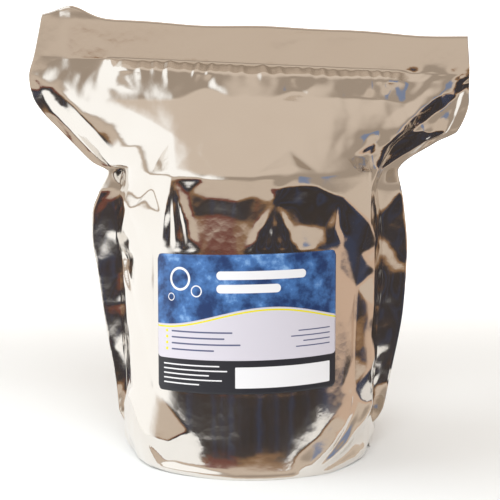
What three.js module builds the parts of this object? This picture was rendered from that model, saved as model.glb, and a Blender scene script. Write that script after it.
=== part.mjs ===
// A sealed stand-up pouch of metallised film around a roll of moist wipes, with a
// printed label stuck on its front. Millimetres, +Z up, front towards -Y, origin at
// the middle of the base on the surface that the pouch stands on.

import * as THREE from 'three';
import { LoftGeometry } from 'three/addons/geometries/LoftGeometry.js';

// Driving dimensions of the pouch
const ROLL_RADIUS = 100; // outside of the film where it lies on the roll
const RIM_HEIGHT = 228; // front edge of the flat top of the roll
const POUCH_WIDTH = 360; // flat width of the pouch, side seals included
const EAR_RISE = 42; // from the rim up to where the ears have the full width
const ROOF_RISE = 87; // from the rim up to the lower edge of the top heat seal
const TOP_SEAL = 31; // height of the sealed band above that edge
const SIDE_SEAL = 7; // width of the sealed strip down each side
const SEAL_THICKNESS = 1.2; // two layers of film with their weld

// How far the side seals begin outside the roll at three heights
const FOOT_SLACK = 2;
const BELLY_SLACK = 24;
const SHOULDER_SLACK = 13;
const BELLY_BELOW_RIM = 78;

// Edges, folds and the lean of the closed top
const BASE_EDGE = 4; // rounding where the base turns up
const RIM_EDGE = 5; // rounding where the film turns over the top of the roll
const TOP_LEAN = THREE.MathUtils.degToRad(2.5); // the seal rises towards the left
const SEAL_BOW = 9; // sway of the sealed band, left end forward and right end back

// Driving dimensions of the label
const LABEL_WIDTH = 148;
const LABEL_HEIGHT = 105;
const LABEL_CORNER = 4;
const LABEL_THICKNESS = 0.4;
const LABEL_BELOW_RIM = 110; // from the rim down to the middle of the label
const LABEL_OFFSET = -2; // along the film, towards the left
const LABEL_TILT = THREE.MathUtils.degToRad(1.2); // right end up
const LABEL_GAP = 0.3; // between the film and the back of the label

// Fineness of the mesh
const HALF_SPANS = 12; // spans from the middle of a panel to its side seal
const BODY_ROWS = 8;
const EAR_ROWS = 5;
const ROOF_ROWS = 5;
const SEAL_ROWS = 3;
const EDGE_ROWS = 3;
const WIDTH_STEPS = 60;
const LABEL_SPANS = 28;
const LABEL_CORNER_SPANS = 4;

const { lerp, smoothstep } = THREE.MathUtils;
const EAR_HEIGHT = RIM_HEIGHT + EAR_RISE;
const SEAL_LINE_HEIGHT = RIM_HEIGHT + ROOF_RISE;
const TOP_HEIGHT = SEAL_LINE_HEIGHT + TOP_SEAL;
const TIGHT_HALF = ROLL_RADIUS + SIDE_SEAL;

// Half the width of the pouch over its side seals, at a height
const bodyWidth = new THREE.CatmullRomCurve3([
  new THREE.Vector3(TIGHT_HALF + FOOT_SLACK, 0, 0),
  new THREE.Vector3(TIGHT_HALF + BELLY_SLACK, 0, RIM_HEIGHT - BELLY_BELOW_RIM),
  new THREE.Vector3(TIGHT_HALF + SHOULDER_SLACK, 0, RIM_HEIGHT),
]);
const bodyWidthPoints = bodyWidth.getPoints(WIDTH_STEPS);

function halfWidth(z) {
  if (z >= EAR_HEIGHT) return POUCH_WIDTH / 2;
  const shoulder = TIGHT_HALF + SHOULDER_SLACK;
  if (z >= RIM_HEIGHT) {
    return lerp(shoulder, POUCH_WIDTH / 2, (z - RIM_HEIGHT) / EAR_RISE);
  }
  const above = Math.max(1, bodyWidthPoints.findIndex((p) => p.z >= z));
  const low = bodyWidthPoints[above - 1];
  const high = bodyWidthPoints[above];
  return lerp(low.x, high.x, (z - low.z) / (high.z - low.z));
}

// Share of the roll's depth that the pouch has at a height: the film stands on the
// rounded base edge, follows the roll to its rim and then runs straight to the seal.
function depthShare(z) {
  if (z < BASE_EDGE) {
    const rise = 1 - z / BASE_EDGE;
    return 1 - (BASE_EDGE / ROLL_RADIUS) * (1 - Math.sqrt(1 - rise * rise));
  }
  if (z <= RIM_HEIGHT - RIM_EDGE) return 1;
  const slope = 1 / ROOF_RISE;
  if (z >= RIM_HEIGHT + RIM_EDGE) return Math.max(0, (SEAL_LINE_HEIGHT - z) * slope);
  const turn = (z - RIM_HEIGHT + RIM_EDGE) / (2 * RIM_EDGE);
  return 1 - RIM_EDGE * slope * turn * turn;
}

// Depth of the panel in front of the middle plane. The film lies on the round of the
// roll, leaves it along a tangent and meets the other panel at the side seal.
function panelDepth(x, z) {
  const part = halfWidth(z) - SIDE_SEAL;
  const tangent = Math.sqrt(part * part - ROLL_RADIUS * ROLL_RADIUS);
  const leaves = (ROLL_RADIUS * ROLL_RADIUS) / part;
  const across = Math.abs(x);
  const onRoll = Math.sqrt(Math.max(0, ROLL_RADIUS * ROLL_RADIUS - x * x));
  const offRoll = ((part - across) * ROLL_RADIUS) / tangent;
  const depth = across < leaves ? onRoll : offRoll;
  return Math.max(depth * depthShare(z), SEAL_THICKNESS / 2);
}

// One closed outline of the pouch: across the front panel and back along the rear one
function pouchSection(z) {
  const half = halfWidth(z);
  const across = [-half];
  for (let i = -HALF_SPANS; i <= HALF_SPANS; i++) {
    across.push((half - SIDE_SEAL) * Math.sin((i / HALF_SPANS) * (Math.PI / 2)));
  }
  across.push(half);
  const closing = smoothstep(z, RIM_HEIGHT, SEAL_LINE_HEIGHT);
  const bow = SEAL_BOW * smoothstep(z, EAR_HEIGHT, TOP_HEIGHT);
  const place = (x, side) => {
    const sway = bow * Math.sin((x / half) * (Math.PI / 2));
    const rise = -x * Math.tan(TOP_LEAN) * closing;
    return new THREE.Vector3(x, side * panelDepth(x, z) + sway, z + rise);
  };
  const front = across.map((x) => place(x, -1));
  const rear = across.map((x) => place(x, 1)).reverse();
  return [...front, ...rear];
}

// Heights from the first up to, but not including, the last
function steps(from, to, count) {
  return Array.from({ length: count }, (_, i) => lerp(from, to, i / count));
}

function makePouch() {
  const heights = [
    ...steps(0, BASE_EDGE, EDGE_ROWS),
    ...steps(BASE_EDGE, RIM_HEIGHT - RIM_EDGE, BODY_ROWS),
    ...steps(RIM_HEIGHT - RIM_EDGE, RIM_HEIGHT + RIM_EDGE, EDGE_ROWS),
    ...steps(RIM_HEIGHT + RIM_EDGE, EAR_HEIGHT, EAR_ROWS),
    ...steps(EAR_HEIGHT, SEAL_LINE_HEIGHT, ROOF_ROWS),
    ...steps(SEAL_LINE_HEIGHT, TOP_HEIGHT, SEAL_ROWS),
    TOP_HEIGHT,
  ];
  const geometry = new LoftGeometry(heights.map(pouchSection), {
    capStart: true,
    capEnd: true,
  });
  const film = new THREE.MeshStandardMaterial({
    color: 0xc9bcb0,
    roughness: 0.16,
    metalness: 1,
  });
  const pouch = new THREE.Mesh(geometry, film);
  pouch.name = 'foil_pouch';
  return pouch;
}

// Distances along the label from its middle, closer together in its round corners
function labelStations() {
  const straight = LABEL_WIDTH / 2 - LABEL_CORNER;
  const turns = [...steps(0, Math.PI / 2, LABEL_CORNER_SPANS), Math.PI / 2];
  const right = turns.map((turn) => straight + LABEL_CORNER * Math.sin(turn));
  const left = right.map((along) => -along).reverse();
  return [...left, ...steps(-straight, straight, LABEL_SPANS).slice(1), ...right];
}

// One section of the label across its thickness, at a distance along it. Its height
// is less in the round corners.
function labelSection(along) {
  const inner = ROLL_RADIUS + LABEL_GAP;
  const outer = inner + LABEL_THICKNESS;
  const intoCorner = Math.max(0, Math.abs(along) - (LABEL_WIDTH / 2 - LABEL_CORNER));
  const inset = LABEL_CORNER - Math.sqrt(LABEL_CORNER * LABEL_CORNER - intoCorner * intoCorner);
  const half = LABEL_HEIGHT / 2 - inset;
  const angle = (along + LABEL_OFFSET) / ROLL_RADIUS;
  const rise = along * Math.tan(LABEL_TILT);
  const place = (radius, z) =>
    new THREE.Vector3(radius * Math.sin(angle), -radius * Math.cos(angle), z + rise);
  return [place(inner, -half), place(inner, half), place(outer, half), place(outer, -half)];
}

function makeLabel() {
  const geometry = new LoftGeometry(labelStations().map(labelSection), {
    capStart: true,
    capEnd: true,
  });
  const print = new THREE.MeshStandardMaterial({
    color: 0x6f8fc4,
    roughness: 0.45,
    metalness: 0,
  });
  const label = new THREE.Mesh(geometry, print);
  label.name = 'label';
  label.position.z = RIM_HEIGHT - LABEL_BELOW_RIM;
  return label;
}

const pack = new THREE.Group();
pack.add(makePouch(), makeLabel());

export default pack;
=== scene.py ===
# A sealed stand-up pouch of metallised film around a roll of moist wipes, with a label.
# Metres, +Z up, front towards -Y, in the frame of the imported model.

import math
from collections import namedtuple

import bpy
import numpy as np
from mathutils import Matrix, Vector
from mathutils.geometry import delaunay_2d_cdt


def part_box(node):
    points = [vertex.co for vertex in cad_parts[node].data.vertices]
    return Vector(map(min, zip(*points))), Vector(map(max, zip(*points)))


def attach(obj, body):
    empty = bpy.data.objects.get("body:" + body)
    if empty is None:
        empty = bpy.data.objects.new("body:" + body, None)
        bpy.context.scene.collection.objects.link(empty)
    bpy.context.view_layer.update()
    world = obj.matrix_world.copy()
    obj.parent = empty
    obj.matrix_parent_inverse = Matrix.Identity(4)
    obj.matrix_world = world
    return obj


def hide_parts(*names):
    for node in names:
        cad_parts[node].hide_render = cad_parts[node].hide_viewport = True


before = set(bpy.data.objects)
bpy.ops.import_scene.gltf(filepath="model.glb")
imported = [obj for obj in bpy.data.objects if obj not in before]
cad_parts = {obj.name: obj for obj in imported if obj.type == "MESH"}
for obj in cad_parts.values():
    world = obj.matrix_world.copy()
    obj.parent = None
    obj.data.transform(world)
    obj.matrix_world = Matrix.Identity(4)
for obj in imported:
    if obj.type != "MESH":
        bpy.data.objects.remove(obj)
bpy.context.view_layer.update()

MM = 0.001

# Driving sizes of the pouch, from the frame where it has them
pouch_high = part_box("foil_pouch")[1]
ROLL_RADIUS = pouch_high.y
POUCH_HALF = pouch_high.x
RIM = 228 * MM
SEAL_LINE = 315 * MM
TOP = 346 * MM
FILM = 0.7 * MM

# Half the width over the side seals at heights, in mm, left and right of the middle
LEFT_SIDE = (
    (0, 107.5), (40, 109), (80, 115), (120, 121), (150, 125), (175, 128.5), (195, 128), (212, 122),
    (228, 115), (236, 128), (248, 141), (262, 156), (273, 168), (283, 175), (298, 178), (315, 174),
    (346, 167),
)
RIGHT_SIDE = (
    (0, 108), (40, 114), (120, 128), (165, 130), (205, 126), (228, 122),
    (254, 153), (264, 170), (295, 180), (315, 180), (346, 178),
)

# Flat strips beside the film that lies around the roll
SIDE_STRIP = 24 * MM
EAR_STRIP = 9 * MM
LEAST_STRIP = 5 * MM
STRIP_START = 1.02  # least distance from the middle, as a share of the roll's radius
STRIP_NARROWS = (RIM - 20 * MM, RIM + 15 * MM)
STRIP_LEAN = 0.06
STRIP_TURN = 120 * MM
LEAN_ACROSS = (85 * MM, 108 * MM)
LEAN_ENDS = (RIM - 15 * MM, RIM + 5 * MM)

# Rounded edges, and the foot with its flare, narrowing and turned strips
BASE_EDGE = 1 * MM
RIM_EDGE = 2 * MM
FLARE = 3 * MM
FLARE_HEIGHT = 32 * MM
TUCK = 0.05
FOOT_TURN = math.radians(70)
FOOT_TURN_ENDS = (8 * MM, 55 * MM)
BASE_HOLLOW = 2 * MM
BASE_OPEN = 5 * MM  # the base is hollow where front and rear are further apart

# Lean and sway of the closed top, and the weld of front and rear film
TOP_LEAN = math.tan(math.radians(2.5))
SEAL_BOW = 4 * MM
WELD_BELOW = 12 * MM
WELD_COLUMNS = 10

# The swelling under the top seal, with its ends along x and the dents below it, in mm
PILLOW_DEPTH = 10 * MM
PILLOW_TOP = 8 * MM
PILLOW_ROUND = 0.7
PILLOW_ENDS = (-122, -92, 112, 140)
DENTS = (
    (-98, 32), (-56, 29), (-34, 20), (-10, 28), (19, 27),
    (36, 20), (55, 27), (86, 25), (110, 26), (130, 28),
)

# Small gathers that hang from the top seal, in mm, with the ranges of what differs between them
PUCKER_ENDS = (-112, 128)
PUCKER_SPACING = 9
PUCKER_HEIGHT = 3.2
PUCKER_SHIFTS = (-3, 3)
PUCKER_LEANS = (-0.35, 0.35)
PUCKER_LENGTHS = (11, 24)
PUCKER_WIDTHS = (3, 5.5)
PUCKER_SHARES = (0.5, 1.3)
PUCKER_START = (0, 2)

# The fold at the seal's left end, the peak of its left corner and the waves of its upper edge
END_FOLD = (-153 * MM, -143 * MM)
END_FOLD_DEPTH = 3 * MM
END_FOLD_BELOW = 20 * MM
PEAK_X = -143 * MM
PEAK_RISE = 9 * MM
PEAK_WIDTH = 17 * MM
EDGE_WAVE = 0.8 * MM
LONG_WAVE = 33  # radians for each metre
SHORT_WAVE = 71
SHORT_WAVE_START = 1
SHORT_WAVE_SHARE = 0.6

# Creases of the front panel: points of straight folds as x and z, and how far out, in mm
CREASES = (
    # rim
    ((-112, 227, 2), (-80, 226, -3), (-55, 229, 5), (-29, 230, 0.5), (3, 229, 0), (33, 231, 6)),
    ((33, 231, 6), (53, 226, 3), (88, 222, 6), (90, 216, 6)),
    # band under the rim
    ((-44, 217, 1), (-30, 212, 1.1), (-10, 210, 1.1), (4, 214, 1.2), (14, 222, 2)),
    # pleats below the left vertex of the rim
    ((-55, 229, 5), (-65, 199, 1.5), (-71, 174, 0.2)),
    ((-55, 229, 5), (-61, 199, 4.2), (-64.5, 182, 2.2), (-66, 173, 0.5)),
    ((-55, 229, 5), (-57.5, 199, 1.4), (-59, 174, 0)),
    ((-55, 229, 5), (-54.5, 199, 4), (-53.8, 182, 2), (-53.5, 173, 0.5)),
    ((-55, 229, 5), (-51, 199, 1), (-48.5, 174, 0)),
    ((-55, 229, 5), (-47.5, 199, 3.2), (-44, 182, 1.6), (-42, 173, 0.4)),
    ((-55, 229, 5), (-42, 199, 0), (-36, 174, 0)),
    # pleats and pocket below the right vertex of the rim
    ((33, 231, 6), (23, 221, 6), (19, 210, 3.5)),
    ((33, 231, 6), (34, 220, 7), (19, 210, 3.5)),
    ((19, 210, 3.5), (4, 190, 0.2), (-3, 175, 0)),
    ((19, 210, 3.5), (10, 190, 3.2), (6, 180, 1.6), (4, 173, 0.4)),
    ((19, 210, 3.5), (14.5, 190, 0.8), (12, 175, 0)),
    ((19, 210, 3.5), (18.5, 190, 3.4), (18.2, 180, 1.7), (18, 173, 0.4)),
    ((19, 210, 3.5), (23, 190, 0.6), (25, 175, 0)),
    ((19, 210, 3.5), (27, 190, 3), (30.5, 180, 1.5), (32, 173, 0.4)),
    ((19, 210, 3.5), (33, 190, 0), (38, 175, 0)),
    ((19, 210, 3.5), (34, 206, 0.5), (50, 206, 0.5), (65, 208, 4.5)),
    ((41, 192, -2), (41, 177, -0.5)),
    ((65, 208, 4.5), (57, 189, 0), (50, 175, 0)),
    ((65, 208, 4.5), (63, 188, 3.6), (60, 176, 0.4)),
    ((65, 208, 4.5), (70, 188, 0.2), (71, 175, 0)),
    # right side
    ((33, 231, 6), (49, 220, 6), (65, 212, 6.5), (87, 191, 8), (101, 170, 6)),
    ((65, 208, 4.5), (77, 180, 2), (86, 167, 2)),
    ((90, 216, 6), (103, 187, 4), (119, 148, 3)),
    ((101, 170, 6), (96, 150, 5), (93, 123, 6), (92, 98, 5.5), (92, 74, 6), (93, 43, 3)),
    ((86, 167, 2), (86, 140, -2), (86, 112, -3), (85, 84, -3), (84, 60, -1), (81, 47, 0.5)),
    ((101, 170, 6), (115, 133, 4), (93, 123, 6)),
    # left side
    ((-80, 211, 1), (-91, 201, 4), (-102, 176, 5), (-116, 180, 2)),
    ((-112, 227, 2), (-110, 201, 3), (-116, 180, 2)),
    ((-75, 217, -3), (-85, 208, -1)),
    ((-100, 178, 5), (-88, 181, 0), (-82, 164, 0.5), (-90, 129, 1), (-99, 158, -1.5)),
    ((-116, 180, 2), (-103, 171, 3), (-97, 144, 3.5), (-93, 110, 3.5), (-88, 59, 4), (-91, 47, 4)),
    # flaps at the foot
    ((-97, 60, 0), (-91, 50, 6), (-76, 27, 8), (-66, 3, 6)),
    ((-91, 50, 6), (-103, 30, 2), (-106, 2, 2)),
    ((-72, 62, 0), (-46, 34, 0), (-59, 24, 5), (-76, 27, 8)),
    ((-46, 34, 0), (-60, 8, 0)),
    ((81, 56, 0.5), (76, 36, 2), (62, 20, 4), (45, 10, 3), (42, 1, 1)),
    ((45, 2, 3), (68, 22, 0.5), (88, 48, 1)),
    ((46, 1, 3), (73, 21, 6), (94, 44, 6)),
    ((48, 0, 2), (77, 13, 2), (100, 34, 1)),
    ((52, 0, 4), (80, 5, 6), (103, 18, 5)),
    # roof
    ((-118, 297, 0), (-84, 290, -2), (-51, 286, -2.5), (-28, 283, -3), (-5, 290, -2), (16, 288, -2.5)),
    ((16, 288, -2.5), (37, 292, -2), (54, 298, -1)),
    ((-118, 297, 0), (-96, 278, 2), (-59, 258, 3), (-40, 246, 2.5), (-20, 233, 0.5)),
    ((150, 298, 2), (108, 269, 3), (101, 252, 3)),
    ((150, 298, 2), (122, 289, 2)),
    ((40, 283, 0.8), (73, 275, 2.2), (89, 281, 0.8)),
    ((45, 266, 0.8), (73, 275, 2.2)),
    ((64, 254, 0.6), (71, 241, 1.8), (97, 243, 1)),
    # ears
    ((-152, 293, 2), (-134, 276, 4), (-117, 259, 5), (-106, 244, 4), (-112, 227, 2)),
    ((157, 292, 4), (130, 272, 7), (103, 249, 8), (90, 216, 6)),
    ((172, 290, -2), (143, 270, -4), (118, 250, -3)),
    # sealed band
    ((-143, 352, 0.8), (-132, 341, 0.3), (-119, 330, 0.2)),
    ((8, 344, 0.3), (15, 334, 0), (22, 325, 0.3)),
    ((119, 340, 0.4), (140, 324, 0.1), (160, 310, 0.1)),
    ((60, 340, 0), (66, 330, 0.3), (70, 319, 0)),
)

# Points where the film keeps its smooth form, in mm, and such points along the seal line
QUIET_POINTS = (
    (0, 250), (0, 270), (30, 248), (20, 262), (-20, 200), (-8, 180), (-30, 180), (0, 45), (-20, 20),
    (30, 26), (76, 112), (76, 88), (45, 62), (15, 60), (-3, 196), (72, 62), (66, 42), (51, 27), (37, 15),
    (33, 2), (0, 2), (-128, 150), (128, 150), (-126, 110), (126, 110), (-110, 20), (110, 20), (-105, 0),
    (105, 0), (-76, 180), (76, 170), (76, 60), (-110, 330), (0, 316), (60, 313), (110, 309), (-60, 320),
    (-180, 310), (180, 300), (-130, 245), (160, 255), (-180, 360), (180, 345),
)
QUIET_SEAL = range(-168, 180, 16)

# Random facets over the film, in mm: their spacing and height
CRUMPLES = (((17, 30), 2.6), ((9, 13), 1.0), ((4.5, 5), 0.25))
CRUMPLE_JITTER = 0.38
SEED = 7

# Where the film is crushed, in mm from the middle or up, each a soft start or end
SIDE_START = (82, 104)
SIDE_END_UP = (222, 240)
STRIP_CALM_START = (104, 112)
EAR_START = (95, 150)
EAR_START_UP = (225, 250)
EAR_END_UP = (306, 316)
FOOT_END_UP = (8, 45)
FOOT_CORNERS = (45, 75)
ROOF_START_UP = (234, 248)
ROOF_END_UP = (290, 305)
ROOF_RIGHT = (30, 95)
GATHER_START_UP = (280, 292)
GATHER_END_UP = (306, 314)
BAND_START_UP = (308, 318)

# How much it is crushed there, as shares of the facets' height
ALL_CRUSH = 0.06
SIDE_CRUSH = 0.94
LEFT_SIDE_SHARE = 0.45
RIGHT_SIDE_SHARE = 0.7
STRIP_CALM = 0.5
LEFT_EAR_CRUSH = 0.3
RIGHT_EAR_CRUSH = 0.7
FOOT_CRUSH = 0.4
FOOT_MIDDLE_SHARE = 0.15
ROOF_LEFT_CRUSH = 0.03
ROOF_RIGHT_CRUSH = 0.45
GATHER_CRUSH = 0.2
BAND_CALM = 0.8

# Label, and the smooth film behind it
LABEL_WIDTH = 148 * MM
LABEL_HEIGHT = 105 * MM
LABEL_CORNER = 4 * MM
LABEL_THICKNESS = 0.4 * MM
LABEL_GAP = 0.3 * MM
LABEL_MIDDLE = 118 * MM
LABEL_OFFSET = -2 * MM
LABEL_TILT = math.tan(math.radians(1.2))
LABEL_REACH = 70 * MM
LABEL_FADE = 3 * MM

# Fineness of the meshes and of the curves that they follow
CELL = 1.825 * MM
STRIP_COLUMNS = 10
BASE_ROWS = 24
LABEL_COLUMNS = 96
LABEL_ROWS = 68
SECTION_STEPS = 300
LEVEL_STEPS = 4000
SHEET_TURNS = 12

# Tolerances
NET_TOLERANCE = 1e-4
TINY = 1e-6
EDGE_SLACK = 1e-9
LEAST_LENGTH = 1e-12

# Film: its tones, roughness and fine relief
FILM_DARK = (0.78, 0.735, 0.685)
FILM_LIGHT = (0.83, 0.80, 0.76)
FILM_ROUGHNESS = 0.07
FILM_ROUGHNESS_SPREAD = 0.08
FILM_CLOUD = {"Scale": 22.0, "Detail": 4.0}
FILM_GRAIN = {"Scale": 420.0, "Detail": 3.0}
FILM_CELLS = {"Scale": 150.0}
FILM_CELL_SHARE = 0.6
FILM_GRAIN_SHARE = 0.25
FILM_RELIEF = {"Strength": 0.35, "Distance": 0.25 * MM}

# Colours of the label's print
NAVY = (0.012, 0.035, 0.12)
BLUE = (0.07, 0.19, 0.46)
SKY = (0.26, 0.44, 0.72)
PALE = (0.66, 0.62, 0.68)
CHARCOAL = (0.022, 0.022, 0.028)
YELLOW = (0.80, 0.72, 0.02)
INK = (0.10, 0.11, 0.20)
WHITE = (0.84, 0.82, 0.83)

# Print of the label, in mm from its middle: a mottled field above a wave, with a rule along it
PRINT_EDGE = 0.12
MOTTLE = {"Scale": 0.055, "Detail": 6.0, "Roughness": 0.62}
MOTTLE_BLUE = (0.36, 0.64)
MOTTLE_SKY = (0.56, 0.72)
WAVE_TURN = 0.036  # radians for each mm
WAVE_START = 0.9
WAVE_RISE = 7.0
WAVE_MIDDLE = 6.0
WAVE_EDGE = (-0.3, 0.3)
RULE_ABOVE_WAVE = -2.0
RULE_EDGE = (0.75, 0.5)

# Rings and title bars on the field: x, y and radius or half the length
RINGS = ((-52, 34, 9), (-38, 25, 4.5), (-60, 20, 3))
RING_INSIDE = 0.8
TITLE_BARS = ((12, 37, 34), (2, 27, 24))
TITLE_HALF_HEIGHT = 3.2
TITLE_CORNER = 3.0

# Bars that stand for lines of text: they start at a margin and run to one side of it
Lines = namedtuple("Lines", "margin side top pitch halves half_height corner")
LEFT_LINES = Lines(-60, 1, -6, 4.6, (25, 22, 28, 18), 0.6, 0.5)
RIGHT_LINES = Lines(68, -1, -6, 4.0, (14, 17, 12, 15), 0.45, 0.4)
BAND_LINES = Lines(-68, 1, -31.5, 3.6, (24, 27, 20, 25, 16), 0.5, 0.4)
BULLET_X = -64.5
BULLET_RADIUS = 1.2

# Dark band with an empty box, and the paper's grain
BAND_EDGE = (-26.9, -27.1)
BOX_MIDDLE = (30, -40)
BOX_HALF = (38, 8)
BOX_CORNER = 0.6
PAPER_GRAIN = {"Scale": 1.6, "Detail": 3.0}
PAPER_ROUGHNESS = 0.34
PAPER_ROUGHNESS_SPREAD = 0.12
PAPER_RELIEF = {"Strength": 0.08, "Distance": 0.2 * MM}

# The sheet of paper that is floor and backdrop: its edges lie just outside the picture
SHEET_COLOUR = (0.86, 0.86, 0.86)
SHEET_ROUGHNESS = 0.9
SHEET_FRONT = -0.16
SHEET_HALF = 0.235
SHEET_SPREAD = 0.2126
SHEET_BACK = 1.7
SHEET_BEND = 0.5
SHEET_TOP = 1.0
SHEET_GLOW = (0.3, 1.6)  # where it turns to plain white behind the pouch

# Colours of the room that the film shows
DARK = (0.052, 0.043, 0.039)
DUSK = (0.055, 0.064, 0.105)
WARM = (0.30, 0.17, 0.085)
RED = (0.17, 0.045, 0.035)
BEIGE = (0.66, 0.48, 0.36)
WINDOW = (1.2, 1.2, 1.18)
WALL = (0.66, 0.55, 0.45)
MIDDLE_WALL = (0.412, 0.338, 0.27)
CEILING = (0.72, 0.61, 0.51)
SKY_WINDOW = (0.23, 0.28, 0.41)

# Dusky streaks in the dark of the room
STREAKS = {"Scale": 9.0, "Detail": 1.0}
STREAK_EDGE = (0.44, 0.7)

# Layers of colour over them, each with soft edges: axis of the direction, absent at, full at
ROOM = (
    (WARM, (("Z", -0.17, -0.1),)),
    (RED, (("X", -0.12, -0.25), ("X", -0.75, -0.6), ("Z", -0.17, -0.1))),
    (BEIGE, (("X", 0.3, 0.6), ("Y", -0.28, -0.1), ("Z", -0.24, -0.16))),
    (WINDOW, (("X", -0.1, -0.26), ("Z", -0.27, -0.36))),
    (WALL, (("Z", -0.08, -0.03),)),
    (MIDDLE_WALL, (("Z", 0.1, 0.3),)),
    (CEILING, (("Z", 0.6, 0.95),)),
    (WINDOW, (("X", -0.25, -0.5), ("Z", 0.2, 0.3))),
    (WINDOW, (("X", -0.3, -0.6), ("Y", -0.35, -0.12), ("Z", 0.17, 0.1))),
    (
        SKY_WINDOW,
        (("X", 0.66, 0.74), ("X", 0.92, 0.86), ("Y", 0, -0.2), ("Z", 0.1, 0.16), ("Z", 0.5, 0.44)),
    ),
)

# Soft lamps: name, place, side and power
LAMPS = (
    ("left_window", (-1.5, -0.2, 0.8), 1.2, 12),
    ("front_fill", (0.3, -2.2, 1.6), 2.0, 66),
)
LAMP_TARGET = (0, 0, 0.15)
LAMP_COLOUR = (0.86, 0.95, 1.0)

# Camera
CAMERA_PLACE = (1 * MM, -968 * MM, 260 * MM)
CAMERA_DOWN = 5.66  # degrees
CAMERA_SENSOR = 36
CAMERA_LENS = 85


def smoothstep(value, low, high):
    t = np.clip((value - low) / (high - low), 0, 1)
    return t * t * (3 - 2 * t)


def smooth_curve(at, points):
    """A curve through points (x, y), without overshoot (monotone cubic)."""
    xs, ys = np.array(points, float).T
    step = np.diff(xs)
    slope = np.diff(ys) / step
    tangent = np.zeros_like(ys)
    tangent[0] = slope[0]
    tangent[-1] = slope[-1]
    same = slope[1:] * slope[:-1] > 0
    mean = 2 * slope[1:] * slope[:-1] / np.where(same, slope[1:] + slope[:-1], 1)
    tangent[1:-1] = np.where(same, mean, 0)
    at = np.clip(np.asarray(at, float), xs[0], xs[-1])
    k = np.clip(np.searchsorted(xs, at) - 1, 0, len(step) - 1)
    t = (at - xs[k]) / step[k]
    h00 = (1 + 2 * t) * (1 - t) ** 2
    h10 = t * (1 - t) ** 2
    h01 = t * t * (3 - 2 * t)
    h11 = t * t * (t - 1)
    return h00 * ys[k] + h10 * step[k] * tangent[k] + h01 * ys[k + 1] + h11 * step[k] * tangent[k + 1]


def run_lengths(across, up):
    """Length along a line of points up to each of them."""
    return np.concatenate([[0], np.cumsum(np.hypot(np.diff(across), np.diff(up)))])


# The film's smooth form

def half_width(level, side):
    return float(smooth_curve(level / MM, RIGHT_SIDE if side > 0 else LEFT_SIDE)) * MM


def depth_share(level):
    """Share of the roll's depth that the film has at a level."""
    if level < BASE_EDGE:
        rise = 1 - level / BASE_EDGE
        return 1 - (BASE_EDGE / ROLL_RADIUS) * (1 - math.sqrt(1 - rise * rise))
    if level <= RIM - RIM_EDGE:
        return 1.0
    slope = 1 / (SEAL_LINE - RIM)
    if level >= RIM + RIM_EDGE:
        return max(0.0, (SEAL_LINE - level) * slope)
    turn = (level - RIM + RIM_EDGE) / (2 * RIM_EDGE)
    return 1 - RIM_EDGE * slope * turn * turn


def strip_width(level, half):
    """Width of the flat strip beside the film that lies around the roll."""
    most = SIDE_STRIP + (EAR_STRIP - SIDE_STRIP) * smoothstep(level, *STRIP_NARROWS)
    return float(np.clip(half - STRIP_START * ROLL_RADIUS, LEAST_STRIP, most))


def half_section(level, side, columns):
    """Points (x, depth) from the middle of the front panel to the start of one side strip, evenly
    spaced along the film, then across the strip."""
    half = half_width(level, side)
    part = half - strip_width(level, half)
    across = part * np.sin(np.linspace(0, math.pi / 2, SECTION_STEPS))
    tangent = math.sqrt(part * part - ROLL_RADIUS * ROLL_RADIUS)
    leaves = ROLL_RADIUS * ROLL_RADIUS / part
    on_roll = np.sqrt(np.maximum(0, ROLL_RADIUS**2 - across**2))
    off_roll = (part - across) * ROLL_RADIUS / tangent
    depth = np.where(across < leaves, on_roll, off_roll) * depth_share(level)
    run = run_lengths(across, depth)
    even = np.linspace(0, run[-1], columns + 1)
    low = max(0.0, 1 - level / FLARE_HEIGHT)
    x = np.interp(even, run, across) * (1 - TUCK * low)
    d = np.interp(even, run, depth) * (1 + FLARE / ROLL_RADIUS * low**2)
    turn = FOOT_TURN * (1 - smoothstep(level, *FOOT_TURN_ENDS))
    strip = np.linspace(0, half - part, STRIP_COLUMNS + 1)[1:]
    strip_x = x[-1] + strip * math.cos(turn)
    return np.concatenate([x, strip_x]), np.concatenate([d, strip * math.sin(turn)])


def film_levels():
    """Levels of the rows, evenly spaced along the film up the middle of the panel."""
    level = np.linspace(0, TOP, LEVEL_STEPS)
    depth = np.array([ROLL_RADIUS * depth_share(z) for z in level]) + pillow(0.0, level)
    run = run_lengths(level, depth)
    rows = 2 * int(round(run[-1] / CELL / 2))
    return np.interp(np.linspace(0, run[-1], rows + 1), run, level)


def pillow(x, level):
    """How far the film swells out under the top seal, down to the dents."""
    below = np.maximum(0, SEAL_LINE - level)
    left_out, left_in, right_in, right_out = (end * MM for end in PILLOW_ENDS)
    ends = smoothstep(x, left_out, left_in) * smoothstep(-x, -right_out, -right_in)
    foot = smooth_curve(x / MM, DENTS) * MM
    rise = np.minimum(1, below / PILLOW_TOP) ** PILLOW_ROUND
    fall = np.clip((foot - below) / (foot - PILLOW_TOP), 0, 1)
    return PILLOW_DEPTH * np.minimum(rise, fall) * ends


def puckers(x, below, rng):
    """Small gathers that hang from the top seal: places along and below it, in mm."""
    lift = np.zeros_like(x)
    for start in np.arange(*PUCKER_ENDS, PUCKER_SPACING):
        middle = start + rng.uniform(*PUCKER_SHIFTS)
        lean = rng.uniform(*PUCKER_LEANS)
        length = rng.uniform(*PUCKER_LENGTHS)
        width = rng.uniform(*PUCKER_WIDTHS)
        height = PUCKER_HEIGHT * rng.uniform(*PUCKER_SHARES)
        ridge = np.maximum(0, 1 - np.abs(x - middle - lean * below) / width)
        lift += height * ridge * smoothstep(below, *PUCKER_START) * np.clip(1 - below / length, 0, 1)
    return lift


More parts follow.
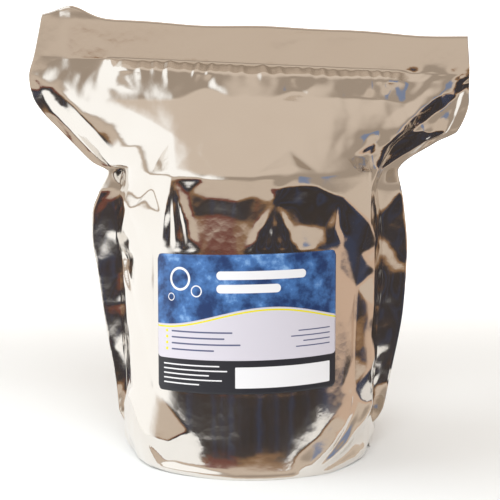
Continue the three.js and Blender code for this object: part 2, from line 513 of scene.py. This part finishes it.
def film_form():
    """Front and rear panels as grids of points, and the level of each row."""
    levels = film_levels()
    columns = 2 * int(round((half_width(SEAL_LINE, 1) - EAR_STRIP) / CELL / 2))
    front = []
    for level in levels:
        right_x, right_d = half_section(level, 1, columns)
        left_x, left_d = half_section(level, -1, columns)
        x = np.concatenate([-left_x[:0:-1], right_x])
        d = np.concatenate([left_d[:0:-1], right_d]) + pillow(x, level)
        front.append(np.stack([x, -d, np.full_like(x, level)], 1))
    front = np.array(front)
    rear = front * np.array([1, -1, 1])
    for strip in (slice(0, STRIP_COLUMNS), slice(-STRIP_COLUMNS, None)):
        rear[:, strip] = front[:, strip]
    for panel in (front, rear):
        bend_panel(panel, levels[:, None])
    return front, rear, levels


def bend_panel(panel, level):
    """Gives a panel the lean and sway of its top, its left end fold and peak, and its leaning strips."""
    x = panel[..., 0]
    closing = smoothstep(level, RIM, SEAL_LINE)
    peak = PEAK_RISE * np.exp(-(((x - PEAK_X) / PEAK_WIDTH) ** 2))
    short = SHORT_WAVE_SHARE * np.sin(x * SHORT_WAVE + SHORT_WAVE_START)
    wave = EDGE_WAVE * (np.sin(x * LONG_WAVE) + short)
    panel[..., 2] += -x * TOP_LEAN * closing + (peak + wave) * smoothstep(level, SEAL_LINE, TOP)
    aside = smoothstep(np.abs(x), *LEAN_ACROSS) * (1 - smoothstep(level, *LEAN_ENDS))
    panel[..., 1] -= STRIP_LEAN * np.maximum(0, level - STRIP_TURN) * aside
    sway = SEAL_BOW * np.sin(x / POUCH_HALF * math.pi / 2) * smoothstep(level, RIM, TOP)
    fold = END_FOLD_DEPTH * (1 - smoothstep(x, *END_FOLD))
    panel[..., 1] += sway + fold * smoothstep(level, SEAL_LINE - END_FOLD_BELOW, TOP)


# Creases and facets

def plane_shares(u, v, away):
    """How far a place lies along the sides u and v of a triangle, from their common corner."""
    area = u[..., 0] * v[..., 1] - u[..., 1] * v[..., 0]
    s = (away[..., 0] * v[..., 1] - away[..., 1] * v[..., 0]) / area
    t = (u[..., 0] * away[..., 1] - u[..., 1] * away[..., 0]) / area
    return s, t


def crease_net():
    """The creases and quiet points as a net of triangles: places, how far out, and corners."""
    heights = {}
    edges = []
    for crease in CREASES:
        for x, z, out in crease:
            heights[(x, z)] = out
        edges += [(a[:2], b[:2]) for a, b in zip(crease, crease[1:])]
    seal_line = [(x, round(SEAL_LINE / MM - x * TOP_LEAN, 2)) for x in QUIET_SEAL]
    for place in (*QUIET_POINTS, *seal_line):
        heights.setdefault(place, 0)
    places = list(heights)
    numbers = {place: number for number, place in enumerate(places)}
    edges = [(numbers[a], numbers[b]) for a, b in edges]
    made = delaunay_2d_cdt([Vector(p) for p in places], edges, [], 0, NET_TOLERANCE)
    points = np.array([tuple(p) for p in made[0]])
    known = np.array(places, float)
    given = np.array([heights[p] for p in places], float)
    out = np.empty(len(points))
    for number, point in enumerate(points):
        near = np.argsort(np.linalg.norm(known - point, axis=1))[:2]
        weight = 1 / (np.linalg.norm(known[near] - point, axis=1) + TINY)
        out[number] = (given[near] * weight).sum() / weight.sum()
    return points, out, made[2]


def net_lift(place, points, out, corners):
    """Height of a net of triangles above places (x, z) in mm."""
    lift = np.zeros(place.shape[:-1])
    for a, b, c in corners:
        u = points[b] - points[a]
        v = points[c] - points[a]
        if abs(u[0] * v[1] - u[1] * v[0]) < TINY:
            continue
        low = np.minimum(np.minimum(points[a], points[b]), points[c])
        high = np.maximum(np.maximum(points[a], points[b]), points[c])
        near = ((place >= low) & (place <= high)).all(-1)
        s, t = plane_shares(u, v, place[near] - points[a])
        inside = (s >= -EDGE_SLACK) & (t >= -EDGE_SLACK) & (s + t <= 1 + EDGE_SLACK)
        flat = lift[near]
        flat[inside] = (out[a] + s * (out[b] - out[a]) + t * (out[c] - out[a]))[inside]
        lift[near] = flat
    return lift


def crumple(place, spacing, rng):
    """Random facets, from -1 to 1, of film that was crushed: place is (along, up) in mm."""
    low = place.reshape(-1, 2).min(0) - 2 * spacing
    cell = np.floor((place - low) / spacing).astype(int)
    counts = cell.reshape(-1, 2).max(0) + 4
    grid = np.stack(np.meshgrid(*(np.arange(n) for n in counts), indexing="ij"), -1)
    points = low + spacing * (grid + rng.uniform(-CRUMPLE_JITTER, CRUMPLE_JITTER, grid.shape))
    out = rng.uniform(-1, 1, counts)
    lift = np.zeros(place.shape[:-1])
    for step in np.ndindex(3, 3):
        i, j = np.moveaxis(cell + np.array(step) - 1, -1, 0)
        for b, c in (((1, 0), (1, 1)), ((1, 1), (0, 1))):
            first = (i, j)
            second = (i + b[0], j + b[1])
            third = (i + c[0], j + c[1])
            sides = (points[second] - points[first], points[third] - points[first])
            s, t = plane_shares(*sides, place - points[first])
            value = out[first] + s * (out[second] - out[first]) + t * (out[third] - out[first])
            lift = np.where((s >= 0) & (t >= 0) & (s + t <= 1), value, lift)
    return lift


def crumple_weight(x, z):
    """Where the film is crushed most: its sides, ears and foot, and less on the roof and front."""
    off = np.abs(x)
    aside = smoothstep(off, *SIDE_START) * (1 - smoothstep(z, *SIDE_END_UP))
    strip = 1 - STRIP_CALM * smoothstep(off, *STRIP_CALM_START)
    aside *= np.where(x < 0, LEFT_SIDE_SHARE, RIGHT_SIDE_SHARE) * strip
    ear = smoothstep(off, *EAR_START) * smoothstep(z, *EAR_START_UP) * (1 - smoothstep(z, *EAR_END_UP))
    ear *= np.where(x < 0, LEFT_EAR_CRUSH, RIGHT_EAR_CRUSH)
    corners = FOOT_MIDDLE_SHARE + (1 - FOOT_MIDDLE_SHARE) * smoothstep(off, *FOOT_CORNERS)
    foot = (1 - smoothstep(z, *FOOT_END_UP)) * corners
    roof = smoothstep(z, *ROOF_START_UP) * (1 - smoothstep(z, *ROOF_END_UP))
    roof *= ROOF_LEFT_CRUSH + ROOF_RIGHT_CRUSH * smoothstep(x, *ROOF_RIGHT)
    gather = smoothstep(z, *GATHER_START_UP) * (1 - smoothstep(z, *GATHER_END_UP))
    body = ALL_CRUSH + SIDE_CRUSH * aside + ear + roof + FOOT_CRUSH * foot + GATHER_CRUSH * gather
    return body * (1 - BAND_CALM * smoothstep(z, *BAND_START_UP))


def softened(field):
    """A grid averaged with its neighbours, which rounds the creases."""
    padded = np.pad(field, 1, "edge")
    rows, columns = field.shape
    weights = (1, 2, 1)
    total = np.zeros_like(field)
    for i, row_weight in enumerate(weights):
        for j, column_weight in enumerate(weights):
            total += row_weight * column_weight * padded[i : i + rows, j : j + columns]
    return total / sum(weights) ** 2


def grid_normals(panel):
    along = np.gradient(panel, axis=1)
    up = np.gradient(panel, axis=0)
    normal = np.cross(along, up)
    return normal / np.maximum(np.linalg.norm(normal, axis=-1, keepdims=True), LEAST_LENGTH)


def crease_shift(form, levels, mirrored):
    """How creases move the points of a panel, worked out on its smooth form."""
    place = form[..., (0, 2)] / MM * np.array([-1 if mirrored else 1, 1])
    lift = net_lift(place, *crease_net())
    rng = np.random.default_rng(SEED + mirrored)
    steps = np.linalg.norm(np.diff(form, axis=1), axis=2)
    along = np.concatenate([np.zeros((len(form), 1)), np.cumsum(steps, 1)], 1)
    flat = np.stack([along / MM, place[..., 1]], -1)
    weight = crumple_weight(place[..., 0], place[..., 1])
    for spacing, height in CRUMPLES:
        lift += height * weight * crumple(flat, np.array(spacing), rng)
    lift += puckers(place[..., 0], (SEAL_LINE - levels[:, None]) / MM, rng)
    lift = softened(lift * MM)
    if not mirrored:
        across = np.abs(form[..., 0] - LABEL_OFFSET) - LABEL_REACH
        above = np.abs(form[..., 2] - LABEL_MIDDLE) - LABEL_HEIGHT / 2
        lift *= smoothstep(np.maximum(across, above), 0, LABEL_FADE)
    outward = grid_normals(form) * (-1 if mirrored else 1)
    return outward * lift[..., None]


def welded(shape, levels):
    """1 where front and rear film are welded to each other, falling to 0 beside the weld."""
    columns = np.arange(shape[1])
    inward = np.minimum(columns, shape[1] - 1 - columns) - STRIP_COLUMNS
    beside = 1 - smoothstep(inward, 0, WELD_COLUMNS)
    above = smoothstep(levels, SEAL_LINE - WELD_BELOW, SEAL_LINE)
    return np.maximum(beside[None, :], above[:, None])[..., None]


# Meshes

def add_mesh(name, points, faces, smooth=True):
    mesh = bpy.data.meshes.new(name)
    mesh.from_pydata(points.tolist(), [], faces)
    mesh.validate()
    mesh.polygons.foreach_set("use_smooth", [smooth] * len(mesh.polygons))
    piece = bpy.data.objects.new(name, mesh)
    bpy.context.scene.collection.objects.link(piece)
    return piece


def quads(index):
    """Quads of a grid of vertex numbers."""
    return np.stack([index[:-1, :-1], index[:-1, 1:], index[1:, 1:], index[1:, :-1]], -1).reshape(-1, 4)


def film_panels():
    """Creased front and rear panels, at least the film's thickness apart."""
    front, rear, levels = film_form()
    front_shift = crease_shift(front, levels, False)
    rear_shift = crease_shift(rear, levels, True)
    weld = welded(front.shape, levels)
    front = front + front_shift
    rear = rear + (rear_shift * (1 - weld) + front_shift * weld)
    normal = grid_normals(front)
    gap = np.linalg.norm(front - rear, axis=-1)
    need = np.maximum(0, FILM - gap)[..., None] / 2
    return front + normal * need, rear - normal * need


def base_rows(front_edge, rear_edge):
    """Rows of points between the lower edges of the panels, slightly hollow."""
    open_base = np.abs(rear_edge[:, 1] - front_edge[:, 1]) > BASE_OPEN
    base = []
    for number in range(1, BASE_ROWS):
        share = number / BASE_ROWS
        row = front_edge * (1 - share) + rear_edge * share
        row[:, 2] += BASE_HOLLOW * math.sin(share * math.pi) * open_base
        base.append(row)
    return np.array(base)


def make_film():
    front, rear = film_panels()
    base = base_rows(front[0], rear[0])
    rows, columns = front.shape[:2]
    points = np.concatenate([part.reshape(-1, 3) for part in (front, rear, base)])
    points[:, 2] = np.maximum(points[:, 2], 0)
    front_index = np.arange(rows * columns).reshape(rows, columns)
    rear_index = front_index + rows * columns
    base_index = np.arange((BASE_ROWS - 1) * columns).reshape(-1, columns) + 2 * rows * columns
    base_index = np.concatenate([front_index[:1], base_index, rear_index[:1]])
    left = np.stack([front_index[:, 0], rear_index[:, 0]], 1)
    right = np.stack([rear_index[:, -1], front_index[:, -1]], 1)
    top = np.stack([front_index[-1], rear_index[-1]], 0)
    faces = [quads(front_index), quads(rear_index)[:, ::-1], quads(base_index)[:, ::-1]]
    faces += [quads(left)[:, ::-1], quads(right)[:, ::-1], quads(top)]
    return add_mesh("film", points, np.concatenate(faces).tolist())


def make_label():
    along = np.linspace(-LABEL_WIDTH / 2, LABEL_WIDTH / 2, LABEL_COLUMNS + 1)
    into_corner = np.maximum(0, np.abs(along) - (LABEL_WIDTH / 2 - LABEL_CORNER))
    inset = LABEL_CORNER - np.sqrt(np.maximum(0, LABEL_CORNER**2 - into_corner**2))
    half = LABEL_HEIGHT / 2 - inset
    angle = (along + LABEL_OFFSET) / ROLL_RADIUS
    inner = ROLL_RADIUS + LABEL_GAP
    points = []
    for radius in (inner, inner + LABEL_THICKNESS):
        for row in range(LABEL_ROWS + 1):
            z = LABEL_MIDDLE + half * (2 * row / LABEL_ROWS - 1) + along * LABEL_TILT
            points.append(np.stack([radius * np.sin(angle), -radius * np.cos(angle), z], 1))
    points = np.array(points).reshape(-1, 3)
    count = (LABEL_ROWS + 1) * (LABEL_COLUMNS + 1)
    back = np.arange(count).reshape(LABEL_ROWS + 1, LABEL_COLUMNS + 1)
    face = back + count
    edge = np.concatenate([back[0, :-1], back[:-1, -1], back[-1, :0:-1], back[:0:-1, 0]])
    rim = np.stack([edge, edge + count])
    rim = np.concatenate([rim, rim[:, :1]], 1)
    faces = np.concatenate([quads(back)[:, ::-1], quads(face), quads(rim)])
    label = add_mesh("front_label", points, faces.tolist())
    rightward = np.tile(np.arange(LABEL_COLUMNS + 1) / LABEL_COLUMNS, LABEL_ROWS + 1)
    upward = np.repeat(np.arange(LABEL_ROWS + 1) / LABEL_ROWS, LABEL_COLUMNS + 1)
    flat = np.stack([rightward, upward], 1)
    corners = np.zeros(len(label.data.loops), np.int32)
    label.data.loops.foreach_get("vertex_index", corners)
    layer = label.data.uv_layers.new(name="flat")
    layer.uv.foreach_set("vector", flat[corners % count].astype(np.float32).ravel())
    return label


# Materials

class Graph:
    """Builds the nodes of a shader by short calls."""

    def __init__(self, tree):
        self.nodes = tree.nodes
        self.links = tree.links

    def node(self, kind, values=None, **settings):
        made = self.nodes.new(kind)
        for name, value in settings.items():
            setattr(made, name, value)
        for name, value in (values or {}).items():
            self.put(made.inputs[name], value)
        return made

    def put(self, socket, value):
        if isinstance(value, bpy.types.NodeSocket):
            self.links.new(value, socket)
        else:
            socket.default_value = value

    def math(self, operation, *values):
        made = self.nodes.new("ShaderNodeMath")
        made.operation = operation
        for socket, value in zip(made.inputs, values):
            self.put(socket, value)
        return made.outputs[0]

    def smooth(self, value, low, high):
        """0 up to low and 1 from high on, smooth between. Low may be the greater one."""
        values = {"Value": value, "From Min": low, "From Max": high}
        made = self.node("ShaderNodeMapRange", values, interpolation_type="SMOOTHSTEP")
        return made.outputs["Result"]

    def mix(self, share, first, second):
        made = self.node("ShaderNodeMix", data_type="RGBA")
        self.put(made.inputs["Factor"], share)
        for name, value in (("A", first), ("B", second)):
            socket = next(i for i in made.inputs if i.name == name and i.type == "RGBA")
            self.put(socket, value if isinstance(value, bpy.types.NodeSocket) else (*value, 1))
        return next(o for o in made.outputs if o.type == "RGBA")

    def split(self, vector):
        return self.node("ShaderNodeSeparateXYZ", {"Vector": vector}).outputs

    def noise(self, vector, values):
        return self.node("ShaderNodeTexNoise", {"Vector": vector, **values}).outputs["Fac"]

    def relief(self, shader, height, values):
        bump = self.node("ShaderNodeBump", {"Height": height, **values})
        self.put(shader.inputs["Normal"], bump.outputs["Normal"])


def new_material(name):
    """A material with its graph and its shader."""
    material = bpy.data.materials.new(name)
    material.use_nodes = True
    return material, Graph(material.node_tree), material.node_tree.nodes["Principled BSDF"]


def film_material():
    material, graph, shader = new_material("metallised_film")
    place = graph.node("ShaderNodeTexCoord").outputs["Object"]
    cloud = graph.noise(place, FILM_CLOUD)
    grain = graph.noise(place, FILM_GRAIN)
    voronoi = graph.node("ShaderNodeTexVoronoi", {"Vector": place, **FILM_CELLS}, feature="F1")
    graph.put(shader.inputs["Base Color"], graph.mix(cloud, FILM_DARK, FILM_LIGHT))
    rough = graph.math("MULTIPLY_ADD", cloud, FILM_ROUGHNESS_SPREAD, FILM_ROUGHNESS)
    graph.put(shader.inputs["Roughness"], rough)
    shader.inputs["Metallic"].default_value = 1
    grain = graph.math("MULTIPLY", grain, FILM_GRAIN_SHARE)
    height = graph.math("MULTIPLY_ADD", voronoi.outputs["Distance"], FILM_CELL_SHARE, grain)
    graph.relief(shader, height, FILM_RELIEF)
    return material


def box_mask(graph, place, middle, half, corner):
    """1 inside a box with round corners on the label, 0 outside, in mm."""
    out = []
    for axis, centre, size in zip("XY", middle, half):
        off = graph.math("ABSOLUTE", graph.math("SUBTRACT", place[axis], centre))
        out.append(graph.math("MAXIMUM", graph.math("SUBTRACT", off, size - corner), 0.0))
    length = graph.math("SQRT", graph.math("ADD", *(graph.math("POWER", o, 2.0) for o in out)))
    return graph.smooth(length, corner + PRINT_EDGE, max(corner - PRINT_EDGE, 0.0))


def disc_mask(graph, place, middle, radius):
    """1 inside a disc on the label, 0 outside, in mm."""
    off = [graph.math("POWER", graph.math("SUBTRACT", place[a], c), 2.0) for a, c in zip("XY", middle)]
    length = graph.math("SQRT", graph.math("ADD", *off))
    return graph.smooth(length, radius + PRINT_EDGE, radius - PRINT_EDGE)


def print_field(graph, flat, place):
    """The mottled blue field, the pale field below its wave, and the rule along the wave."""
    spot = graph.noise(flat, MOTTLE)
    colour = graph.mix(graph.smooth(spot, *MOTTLE_BLUE), NAVY, BLUE)
    colour = graph.mix(graph.smooth(spot, *MOTTLE_SKY), colour, SKY)
    wave = graph.math("SINE", graph.math("MULTIPLY_ADD", place["X"], WAVE_TURN, WAVE_START))
    wave = graph.math("MULTIPLY_ADD", wave, WAVE_RISE, WAVE_MIDDLE)
    below = graph.smooth(graph.math("SUBTRACT", wave, place["Y"]), *WAVE_EDGE)
    colour = graph.mix(below, colour, PALE)
    above = graph.math("SUBTRACT", place["Y"], wave)
    rule = graph.math("ABSOLUTE", graph.math("SUBTRACT", above, RULE_ABOVE_WAVE))
    return graph.mix(graph.smooth(rule, *RULE_EDGE), colour, YELLOW)


def print_lines(graph, place, colour, lines, ink):
    """Bars that stand for lines of text, one below the other."""
    for number, half in enumerate(lines.halves):
        middle = (lines.margin + lines.side * half, lines.top - lines.pitch * number)
        bar = box_mask(graph, place, middle, (half, lines.half_height), lines.corner)
        colour = graph.mix(bar, colour, ink)
    return colour


def label_material():
    material, graph, shader = new_material("label_print")
    unit = graph.node("ShaderNodeUVMap", uv_map="flat").outputs["UV"]
    size = (LABEL_WIDTH / MM, LABEL_HEIGHT / MM, 0)
    middle = [length / 2 for length in size]
    flat = graph.node("ShaderNodeVectorMath", {0: unit, 1: size}, operation="MULTIPLY").outputs[0]
    centred = graph.node("ShaderNodeVectorMath", {0: flat, 1: middle}, operation="SUBTRACT")
    place = graph.split(centred.outputs[0])
    colour = print_field(graph, flat, place)
    for x, y, radius in RINGS:
        disc = disc_mask(graph, place, (x, y), radius)
        inside = disc_mask(graph, place, (x, y), radius * RING_INSIDE)
        colour = graph.mix(graph.math("SUBTRACT", disc, inside), colour, WHITE)
    for x, y, half in TITLE_BARS:
        bar = box_mask(graph, place, (x, y), (half, TITLE_HALF_HEIGHT), TITLE_CORNER)
        colour = graph.mix(bar, colour, WHITE)
    colour = print_lines(graph, place, colour, LEFT_LINES, INK)
    for number in range(len(LEFT_LINES.halves)):
        y = LEFT_LINES.top - LEFT_LINES.pitch * number
        bullet = disc_mask(graph, place, (BULLET_X, y), BULLET_RADIUS)
        colour = graph.mix(bullet, colour, YELLOW)
    colour = print_lines(graph, place, colour, RIGHT_LINES, INK)
    colour = graph.mix(graph.smooth(place["Y"], *BAND_EDGE), colour, CHARCOAL)
    colour = graph.mix(box_mask(graph, place, BOX_MIDDLE, BOX_HALF, BOX_CORNER), colour, WHITE)
    colour = print_lines(graph, place, colour, BAND_LINES, WHITE)
    graph.put(shader.inputs["Base Color"], colour)
    grain = graph.noise(flat, PAPER_GRAIN)
    rough = graph.math("MULTIPLY_ADD", grain, PAPER_ROUGHNESS_SPREAD, PAPER_ROUGHNESS)
    graph.put(shader.inputs["Roughness"], rough)
    graph.relief(shader, grain, PAPER_RELIEF)
    return material


# Floor, backdrop, light and camera

def sheet_material():
    material, graph, shader = new_material("floor_paper")
    shader.inputs["Base Color"].default_value = (*SHEET_COLOUR, 1)
    shader.inputs["Roughness"].default_value = SHEET_ROUGHNESS
    shader.inputs["Emission Color"].default_value = (1, 1, 1, 1)
    place = graph.split(graph.node("ShaderNodeTexCoord").outputs["Object"])
    path = graph.node("ShaderNodeLightPath").outputs
    seen = graph.math("ADD", path["Is Camera Ray"], path["Is Glossy Ray"])
    seen = graph.math("MINIMUM", graph.math("ADD", seen, path["Is Transmission Ray"]), 1.0)
    far = graph.smooth(place["Y"], *SHEET_GLOW)
    graph.put(shader.inputs["Emission Strength"], graph.math("MULTIPLY", seen, far))
    return material


def make_stage():
    turns = np.linspace(0, math.pi / 2, SHEET_TURNS)
    rows = [(SHEET_FRONT, 0.0)]
    rows += [(SHEET_BACK + SHEET_BEND * math.sin(a), SHEET_BEND * (1 - math.cos(a))) for a in turns]
    rows.append((SHEET_BACK + SHEET_BEND, SHEET_TOP))
    points = []
    for y, z in rows:
        half = SHEET_HALF + SHEET_SPREAD * (y - SHEET_FRONT)
        points += [(-half, y, z), (half, y, z)]
    index = np.arange(len(points)).reshape(-1, 2)
    sweep = add_mesh("floor", np.array(points), quads(index).tolist(), smooth=False)
    sweep.data.materials.append(sheet_material())


def make_world():
    """A room by direction, dark ahead and light around, for the film to show."""
    world = bpy.data.worlds.new("studio")
    world.use_nodes = True
    bpy.context.scene.world = world
    graph = Graph(world.node_tree)
    way = graph.split(graph.node("ShaderNodeTexCoord").outputs["Generated"])
    across = graph.node("ShaderNodeCombineXYZ", {"X": way["X"]}).outputs[0]
    streaks = graph.smooth(graph.noise(across, STREAKS), *STREAK_EDGE)
    room = graph.mix(streaks, DARK, DUSK)
    for colour, edges in ROOM:
        share = 1.0
        for axis, absent, full in edges:
            share = graph.math("MULTIPLY", share, graph.smooth(way[axis], absent, full))
        room = graph.mix(share, room, colour)
    graph.put(world.node_tree.nodes["Background"].inputs["Color"], room)


def make_lamps():
    for name, place, side, power in LAMPS:
        lamp = bpy.data.lights.new(name, "AREA")
        lamp.shape = "SQUARE"
        lamp.size = side
        lamp.energy = power
        lamp.color = LAMP_COLOUR
        holder = bpy.data.objects.new(name, lamp)
        holder.location = place
        aim = Vector(LAMP_TARGET) - Vector(place)
        holder.rotation_euler = aim.to_track_quat("-Z", "Y").to_euler()
        holder.visible_glossy = False
        bpy.context.scene.collection.objects.link(holder)


def make_camera():
    data = bpy.data.cameras.new("camera")
    data.sensor_width = CAMERA_SENSOR
    data.lens = CAMERA_LENS
    camera = bpy.data.objects.new("camera", data)
    camera.location = CAMERA_PLACE
    camera.rotation_euler = (math.radians(90 - CAMERA_DOWN), 0, 0)
    bpy.context.scene.collection.objects.link(camera)
    bpy.context.scene.camera = camera


film = make_film()
film.data.materials.append(film_material())
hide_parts("foil_pouch")
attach(film, "root")

label = make_label()
label.data.materials.append(label_material())
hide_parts("label")
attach(label, "root")

make_stage()
make_world()
make_lamps()
make_camera()
bpy.context.scene.view_settings.view_transform = "Standard"
